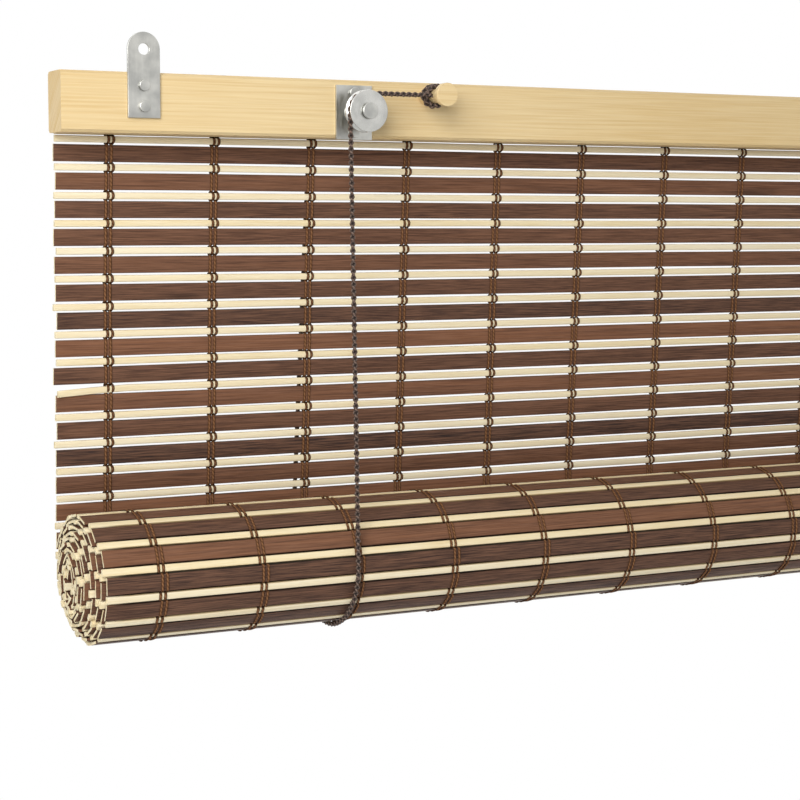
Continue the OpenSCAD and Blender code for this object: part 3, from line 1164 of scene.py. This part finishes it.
LOOKS = {
    BarKind.DARK: BarLook(
        node="dark_slat",
        hung_name="stained_slat",
        wound_name="wound_slats",
        slot="dark_bamboo",
        edge=0.3,
        hung_bow=0.7,
        hung_height=9.2,
        tones=(0.5, 0.69, 0.33, 0.7, 0.57, 0.37, 0.7, 0.93, 0.0, 0.72, 0.14, 0.59, 1.0, 0.42, 0.0),
        outer_tones=(0.35, 0.5, 0.5, 0.5, 0.5, 1.0, 1.0, 0.84, 0.95, 0.1, 0.85, 0.5),
    ),
    BarKind.LIGHT: BarLook(
        node="light_rod",
        hung_name="natural_rod",
        wound_name="wound_rods",
        slot="natural_bamboo",
        edge=0.55,
        hung_bow=1.2,
        hung_height=3.65,
        tones=(0.5, 0.4, 0.3, 0.2, 1.0, 0.0, 0.55, 0.7, 0.5, 1.0, 0.65, 0.5, 0.2, 0.5, 0.1, 0.3),
        outer_tones=(0.5, 0.9, 0.3, 0.9, 0.45, 0.0, 0.0, 0.0, 1.0, 1.0, 0.9, 1.0),
    ),
}


@dataclass
class BambooMat:
    """The hanging slats and rods and the wound part of the mat."""

    layout: MatLayout
    finishes: dict[BarKind, Material]
    cut_end: Material
    tree: BarTree
    wound_bow: float = 0.35
    sections: int = 40
    wound_sections: int = 14
    outer_bars: int = 14
    inner_tones: tuple[float, float] = (0.15, 0.95)
    hung_seed: float = 3.1
    hung_seed_step: float = 1.7
    wound_seed: float = 20.0
    wound_seed_step: float = 1.3
    drooping_rod: int = 11
    droop: float = 2.6

    def bars(
        self,
        name: str,
        kind: BarKind,
        places: Sequence[tuple[Point, float, float]],
        values: dict[str, Sequence[float]],
        bow: float,
        sections: int,
        height: float,
    ) -> Piece:
        """Build one piece of bars of a kind.

        Args:
            name: the piece's name.
            kind: dark slats or light rods.
            places: middle in metres, tilt about X in radians and length in metres of each bar.
            values: seed, tone, droop, and whether each bar lies on an inner turn, for painted
                shade.
            bow: how far a bar may wander, in millimetres.
            sections: stations along each bar.
            height: height of each bar in millimetres.

        Returns:
            The finished piece.
        """
        middles, tilts, lengths = zip(*places)
        piece = self.tree.run(
            host_mesh(name, middles, values={"tilt": tilts, "length": lengths, **values}),
            name,
            {
                "Height": height * MM,
                "Thickness": self.layout.size(kind)[1] * MM,
                "Edge": LOOKS[kind].edge * MM,
                "Bow": bow * MM,
                "Sections": sections,
                "Face Finish": self.finishes[kind],
                "End Finish": self.cut_end,
            },
        )
        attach(piece, BODY)
        return piece

    def hang(self) -> list[Piece]:
        """Build every hanging slat and rod where its solid is, and return the pieces."""
        pieces = []
        for kind, look in LOOKS.items():
            for i, tone in enumerate(look.tones, 1):
                node = f"{look.node}_{i:02d}"
                low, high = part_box(node)
                middle = (Vector(low) + Vector(high)) / 2
                tilt = 0.0 if i == 1 else math.radians(self.layout.lean)
                droops = kind is BarKind.LIGHT and i == self.drooping_rod
                values = {
                    "seed": [i * self.hung_seed_step + self.hung_seed],
                    "tone": [tone],
                    "droop": [self.droop * MM if droops else 0.0],
                    "shaded_turn": [0.0],
                }
                piece = self.bars(
                    f"{look.hung_name}_{i:02d}",
                    kind,
                    [(tuple(middle), tilt, high[0] - low[0])],
                    values,
                    look.hung_bow,
                    self.sections,
                    look.hung_height,
                )
                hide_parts(node)
                pieces.append(piece)
        return pieces

    def wind(self) -> list[Piece]:
        """Build the wound slats and the wound rods, and return the two pieces."""
        layout = self.layout
        chance = random.Random(12)
        length = layout.width * MM
        lean = math.radians(layout.lean)
        gathered: dict[BarKind, list[tuple[Point, float, float]]] = {kind: [] for kind in LOOKS}
        for i, kind in enumerate(LOOKS, 1):
            y, z = layout.on_lean(layout.last_light + i * layout.slack_pitch / 2)
            place = (layout.stagger(i + layout.first_slack) * MM, y * MM, z * MM)
            gathered[kind].append((place, lean, length))
        for i, angle in enumerate(layout.wound_angles()):
            y, z = layout.wound(angle)
            kind = BarKind.LIGHT if i % 2 else BarKind.DARK
            place = (layout.creep(i, angle) * MM, y * MM, z * MM)
            gathered[kind].append((place, layout.wound_tilt(angle), length))
        pieces = []
        for kind, places in gathered.items():
            outer = LOOKS[kind].outer_tones
            inner = [chance.uniform(*self.inner_tones) for _ in places[len(outer) :]]
            values = {
                "seed": [self.wound_seed + self.wound_seed_step * n for n in range(len(places))],
                "tone": [*outer, *inner],
                "droop": [0.0] * len(places),
                # Bars past the outer turn are flagged for painted shade.
                "shaded_turn": [float(n >= self.outer_bars) for n in range(len(places))],
            }
            piece = self.bars(
                LOOKS[kind].wound_name,
                kind,
                places,
                values,
                self.wound_bow,
                self.wound_sections,
                layout.size(kind)[0],
            )
            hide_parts("rolled_mat")
            pieces.append(piece)
        return pieces


def clipped(value: float) -> float:
    """Keep a number between nought and one."""
    return min(1.0, max(0.0, value))


@dataclass
class WarpThreads:
    """The pairs of crossed yarns that bind the mat, down the panel and round the roll.

    Lengths are in millimetres. The lead yarn of a pair lies in front of the slats and the lap
    yarn in front of the rods. Each stop on the roll is an angle, a shift, and the share of the
    further shift that the first warps have there.
    """

    layout: MatLayout
    finish: Material
    tree: StrandTree
    gap: float = 2.75
    width: float = 1.65
    thick: float = 0.8
    step: float = 0.8
    sides: int = 6
    stations: tuple[float, ...] = (-0.47, -0.27, 0.0, 0.27, 0.47)
    end_station: float = 0.4
    end_lift: float = 0.75
    loop_round: float = 0.72
    lap: float = 0.75
    lap_aside: float = 0.45
    roll_lap: float = 0.7
    hung_cross: tuple[float, float] = (-0.35, 0.3)
    roll_aside: float = 0.6
    # Painted shade on loops over the rods and at their ends.
    end_shade: float = 0.8
    loop_shade: float = 0.3
    sway_top: float = -0.9
    sway_fall: float = -1.3
    kink_top: float = 0.36
    kink_low: float = 0.62
    askew: tuple[tuple[float, float], ...] = (
        (-0.7, 0.59), (0.05, 1.23), (-1.25, -0.42), (-0.29, 0.2),
        (0.59, 0.91), (-0.58, -0.4), (0.57, 0.57),
    )
    roll_stops: tuple[tuple[float, float, float], ...] = (
        (-180, 0.0, 0.0), (-90, 1.5, 0.0), (-40, 0.5, 0.6), (3, 0.0, 1.0),
        (40, -2.8, 1.0), (87, -5.5, 0.3), (180, -8.0, 0.0),
    )
    last_angle: float = 170.0
    first_drift: float = 4.6
    first_warps: float = 2.0
    first_start: float = 70.0
    even_warp: float = 5.5
    even_step: float = 0.3

    def drift(self, warp: int, row: Row) -> float:
        """Shift of a warp along the mat, which hangs and is wound a little askew.

        Args:
            warp: the warp's number from the left.
            row: the bar that the warp passes.

        Returns:
            The shift in millimetres.
        """
        if row.angle is None:
            fallen = clipped((self.layout.rail_bottom - row.centre.y) / self.layout.touch)
            share = clipped((fallen - self.kink_top) / (self.kink_low - self.kink_top))
            top, low = self.askew[warp - 1] if warp <= len(self.askew) else (0.0, 0.0)
            return self.sway_top + self.sway_fall * fallen + top + (low - top) * share
        even = self.even_step * max(0.0, self.even_warp - warp)
        for (a0, d0, e0), (a1, d1, e1) in zip(self.roll_stops, self.roll_stops[1:]):
            if row.angle <= a1:
                share = max(0.0, (row.angle - a0) / (a1 - a0))
                slide = d0 + (d1 - d0) * share + (e0 + (e1 - e0) * share) * even
                break
        first = max(0.0, 1 - (warp - 1) / self.first_warps)
        start = clipped((row.angle + 180) / self.first_start)
        return slide + start * self.first_drift * first

    def strand(
        self, rows: Sequence[Row], warp: int, x: float, leads: bool
    ) -> tuple[list[Point], list[float]]:
        """Trace one yarn of a pair over and under the bars.

        Args:
            rows: the bars in order.
            warp: the warp's number from the left.
            x: the pair's place along the mat.
            leads: True for the yarn that lies in front of the dark slats.

        Returns:
            Points in metres, and the painted shade at each.
        """
        points: list[Point] = []
        crossing_shades: list[float] = []

        def put(offset: float, spot: Vector, crossing_shade: float) -> None:
            """Add one point of the yarn."""
            points.append(((x + offset) * MM, spot.x * MM, spot.y * MM))
            crossing_shades.append(crossing_shade)

        for row, following in zip(rows, [*rows[1:], None]):
            height, thick = self.layout.size(row.kind)
            dark = row.kind is BarKind.DARK
            depth = (thick + self.thick) / 2 * (1 if dark != leads else -1)
            slide = self.drift(warp, row)
            looped = not dark and not leads
            if row.angle is None:
                aside = 0.0 if leads else self.lap_aside
                lap = self.lap if looped else 0.0
                cross = self.hung_cross[0 if leads else 1]
            else:
                aside = -self.roll_aside if leads else self.roll_aside
                lap = self.roll_lap if looped else 0.0
                cross = 0.0
            for share in self.stations:
                at_end = abs(share) > self.end_station
                bulge = math.cos(math.pi * share * self.loop_round)
                lift = depth * (self.end_lift if at_end else 1.0)
                spot = row.centre + row.travel * (share * height) + row.back * lift
                # Painted shade on loops over rods, darker at their ends.
                crossing_shade = self.loop_shade if looped else 0.0
                if at_end and not dark:
                    crossing_shade = self.end_shade
                put(slide + aside + lap * bulge, spot, crossing_shade)
            if following is not None:
                next_height = self.layout.size(following.kind)[0]
                gap_here = row.centre + row.travel * (height / 2)
                gap_next = following.centre - following.travel * (next_height / 2)
                slide = (slide + self.drift(warp, following)) / 2
                # Full painted shade where the yarns cross in a gap.
                put(slide + aside + cross, (gap_here + gap_next) / 2, 1.0)
        return points, crossing_shades

    def build(self) -> list[Piece]:
        """Build every warp as one piece and return the pieces."""
        layout = self.layout
        rows = layout.rows(self.last_angle)
        spacing = (layout.width - 2 * layout.warp_edge) / (layout.warp_count - 1)
        pieces = []
        for warp in range(1, layout.warp_count + 1):
            middle = (warp - (layout.warp_count + 1) / 2) * spacing
            points: list[Point] = []
            crossing_shades: list[float] = []
            chains = []
            for side in (-0.5, 0.5):
                for leads in (True, False):
                    path, painted_cross_shade = self.strand(rows, warp, middle + side * self.gap, leads)
                    chains.append(range(len(points), len(points) + len(path)))
                    points += path
                    crossing_shades += painted_cross_shade
            name = f"warp_yarn_{warp:02d}"
            piece = self.tree.run(
                host_mesh(name, points, chains, {"crossing_shade": crossing_shades}),
                name,
                {
                    "Width": self.width * MM,
                    "Thickness": self.thick * MM,
                    "Step": self.step * MM,
                    "Sides": self.sides,
                    "Finish": self.finish,
                },
            )
            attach(piece, BODY)
            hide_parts(f"warp_thread_{warp:02d}")
            pieces.append(piece)
        return pieces


CORD_ROUTE: tuple[Point, ...] = (
    (-0.2413, 0.028, -0.0441), (-0.2418, 0.029, -0.064), (-0.2429, 0.0311, -0.104),
    (-0.2439, 0.0332, -0.144), (-0.245, 0.0353, -0.184), (-0.246, 0.0374, -0.224),
    (-0.2468, 0.039, -0.256), (-0.2474, 0.0401, -0.2771), (-0.2467, 0.0397, -0.2851),
    (-0.2461, 0.0375, -0.2927), (-0.2454, 0.0338, -0.2997), (-0.2447, 0.0288, -0.3057),
    (-0.2441, 0.0228, -0.3107), (-0.2434, 0.016, -0.3143), (-0.2431, 0.0085, -0.3166),
    (-0.243, 0.0008, -0.3173), (-0.2429, -0.0068, -0.3164), (-0.2428, -0.0141, -0.3139),
    (-0.2426, -0.0208, -0.3101), (-0.2425, -0.0264, -0.3051), (-0.2424, -0.0311, -0.299),
    (-0.2422, -0.0346, -0.2922), (-0.2421, -0.0364, -0.2847), (-0.242, -0.0366, -0.277),
    (-0.2416, -0.0349, -0.256), (-0.2407, -0.0318, -0.216), (-0.2399, -0.0286, -0.176),
    (-0.239, -0.0254, -0.136), (-0.2382, -0.0222, -0.096), (-0.2375, -0.0195, -0.062),
    (-0.2371, -0.018, -0.042), (-0.2368, -0.017, -0.03), (-0.2363, -0.017, -0.027),
    (-0.2349, -0.017, -0.0242), (-0.2328, -0.017, -0.0221), (-0.23, -0.017, -0.0207),
    (-0.227, -0.017, -0.0202), (-0.215, -0.017, -0.0202), (-0.2, -0.017, -0.0202),
    (-0.186, -0.017, -0.0202),
)


@dataclass
class LiftCord:
    """The braided lift cord, and the turns that make it fast on its peg, in millimetres."""

    finish: Material
    tree: BraidTree
    diameter: float = 3.0
    swell: float = 0.2
    strand: float = 0.62
    pitch: float = 7.4
    step: float = 0.4
    sides: int = 8
    hitch_turns: float = 2.6
    hitch_steps: int = 16
    hitch_start: float = 1.6
    hitch_pitch: float = 3.05
    peg_radius: float = 4.0
    peg_x: float = -182.0
    peg_z: float = -20.2

    def braid(self, name: str, route: Sequence[Point]) -> Piece:
        """Braid a cord along a route.

        Args:
            name: the piece's name.
            route: points in metres.

        Returns:
            The finished piece.
        """
        piece = self.tree.run(
            host_mesh(name, route, [range(len(route))]),
            name,
            {
                "Radius": (self.diameter + self.swell) / 2 * MM,
                "Strand": self.strand * MM,
                "Pitch": self.pitch * MM,
                "Step": self.step * MM,
                "Sides": self.sides,
                "Finish": self.finish,
            },
        )
        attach(piece, BODY)
        return piece

    def build(self) -> list[Piece]:
        """Build the cord and its hitch, and return both."""
        cord = self.braid("braided_lift_cord", CORD_ROUTE)
        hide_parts("lift_cord")
        reach = self.peg_radius + self.diameter / 2
        points = []
        for i in range(int(self.hitch_turns * self.hitch_steps) + 1):
            turns = i / self.hitch_steps
            turn = math.tau * turns
            points.append(
                (
                    (self.peg_x - reach * math.cos(turn)) * MM,
                    CORD_ROUTE[-1][1] + (turns * self.hitch_pitch + self.hitch_start) * MM,
                    (self.peg_z + reach * math.sin(turn)) * MM,
                )
            )
        hitch = self.braid("cord_hitch", points)
        return [cord, hitch]


@dataclass
class TopFittings:
    """The headrail with its lath, pegs and steel fittings, in millimetres and degrees."""

    wood: Material
    zinc: Material
    turned: Material
    soft_edge: float = 0.35
    merge: float = 0.005
    flat_angle: float = 1.0
    sharp_angle: float = 40.0

    def dress(self) -> list[str]:
        """Give every fitting its finish and soft edges, and return the nodes' names."""
        wooden = ["headrail", "clamping_lath", "cord_pegs"]
        plated = ["lath_nails", "plate_screws"]
        for side in ("left", "right"):
            plated += [f"{side}_{part}" for part in ("hanger", "bracket", "axle")]
        wheels = ["left_wheel", "right_wheel"]
        for names, finish in ((wooden, self.wood), (plated, self.zinc), (wheels, self.turned)):
            for name in names:
                node = frame["nodes"][name]
                for slot in node.material_slots:
                    slot.material = finish
                self.soften(node)
        return wooden + plated + wheels

    def soften(self, node: Piece) -> None:
        """Merge a node's triangles and round its sharp edges, by modifiers."""
        weld = node.modifiers.new("Weld", "WELD")
        weld.merge_threshold = self.merge * MM
        flat = node.modifiers.new("Flat faces", "DECIMATE")
        flat.decimate_type = "DISSOLVE"
        flat.angle_limit = math.radians(self.flat_angle)
        bevel = node.modifiers.new("Soft edges", "BEVEL")
        bevel.width = self.soft_edge * MM
        bevel.segments = 2
        bevel.limit_method = "ANGLE"
        bevel.angle_limit = math.radians(self.sharp_angle)
        bevel.harden_normals = True


@dataclass
class Studio:
    """Camera, soft lamps, white surround and floor.

    Each lamp has a name, a place, the side of its square panel in metres, and its watts.
    """

    camera_at: Point = (-0.70107, -0.97807, -0.09204)
    camera_turn: Point = (84.806, 0.0, -27.24)
    lens: float = 86.9
    sensor: float = 36.0
    near: float = 0.02
    aim: Point = (-0.1, 0.0, -0.16)
    surround_light: float = 0.3
    floor_z: float = -0.62
    floor_reach: float = 6.0
    floor_colour: Colour = (0.85, 0.85, 0.85, 1.0)
    lamps: tuple[tuple[str, Point, float, float], ...] = (
        ("key", (-1.1, -1.0, 0.35), 0.9, 20.0),
        ("top", (-0.3, -0.8, 1.6), 1.4, 4.0),
        ("back", (0.5, 1.7, 0.7), 1.4, 9.0),
    )

    def camera(self) -> None:
        """Set the camera where the photograph was taken from."""
        data = bpy.data.cameras.new("camera")
        data.lens = self.lens
        data.sensor_width = self.sensor
        data.sensor_fit = "HORIZONTAL"
        data.clip_start = self.near
        eye = linked("camera", data)
        eye.location = self.camera_at
        eye.rotation_euler = [math.radians(a) for a in self.camera_turn]
        bpy.context.scene.camera = eye

    def white_to_view(self, make: TreeMaker, shader: Socket, kind: str) -> Socket:
        """Show white to the camera and to reflections, and a shader to all other rays.

        Args:
            make: maker of the tree.
            shader: what other rays meet.
            kind: node type that gives the white.

        Returns:
            The mixed shader.
        """
        path = make.add("ShaderNodeLightPath").outputs
        seen = make.math("MAXIMUM", path["Is Camera Ray"], path["Is Glossy Ray"])
        seen = make.math("MAXIMUM", seen, path["Is Transmission Ray"])
        white = make.out(kind, {"Color": WHITE, "Strength": 1.0})
        return make.out("ShaderNodeMixShader", {0: seen, 1: shader, 2: white})

    def surround(self) -> None:
        """Light the scene evenly from a white surround."""
        world = bpy.data.worlds.new("surround")
        bpy.context.scene.world = world
        make = empty_tree(world)
        kind = "ShaderNodeBackground"
        soft = make.out(kind, {"Color": WHITE, "Strength": self.surround_light})
        make.add("ShaderNodeOutputWorld", {"Surface": self.white_to_view(make, soft, kind)})

    def floor(self) -> None:
        """Lay a plain pale floor below the blind."""
        mesh = bpy.data.meshes.new("floor")
        far = self.floor_reach
        ways = ((-1, -1), (1, -1), (1, 1), (-1, 1))
        mesh.from_pydata([(x * far, y * far, self.floor_z) for x, y in ways], [], [(0, 1, 2, 3)])
        ground = linked("floor", mesh)
        material = bpy.data.materials.new("floor_white")
        make = empty_tree(material)
        matt = make.out("ShaderNodeBsdfDiffuse", {"Color": self.floor_colour})
        mixed = self.white_to_view(make, matt, "ShaderNodeEmission")
        make.add("ShaderNodeOutputMaterial", {"Surface": mixed})
        mesh.materials.append(material)

    def light(self) -> None:
        """Set the surround, the floor and the soft lamps, which point at the blind."""
        self.surround()
        self.floor()
        for name, at, size, power in self.lamps:
            data = bpy.data.lights.new(name, "AREA")
            data.shape = "SQUARE"
            data.size = size
            data.energy = power
            lamp = linked(name, data)
            lamp.location = at
            facing = Vector(self.aim) - Vector(at)
            lamp.rotation_euler = facing.to_track_quat("-Z", "Y").to_euler()


def main() -> None:
    """Build every piece in order and report it."""
    logging.basicConfig(level=logging.INFO, format="%(name)s: %(message)s")
    bpy.context.scene.view_settings.view_transform = "Standard"
    studio = Studio()
    studio.camera()
    groups = SharedGroups(FibreGroup(), TwistGroup(), MottleGroup())
    layout = MatLayout()
    pieces = LiftCord(CORD_YARN.material(groups), BraidTree()).build()
    bamboo = {BarKind.DARK: STAINED.material(groups), BarKind.LIGHT: NATURAL.material(groups)}
    mat = BambooMat(layout, bamboo, CUT_END.material(), BarTree())
    warps = WarpThreads(layout, WARP_YARN.material(groups), StrandTree())
    pieces += [*mat.hang(), *mat.wind(), *warps.build()]
    for piece in pieces:
        LOG.info("%s: %d faces", piece.name, len(piece.data.polygons))
    finishes = (BATTEN, ZINC, TURNED_STEEL)
    for name in TopFittings(*(finish.material(groups) for finish in finishes)).dress():
        LOG.info("%s: dressed", name)
    studio.light()


if __name__ == "__main__":
    main()
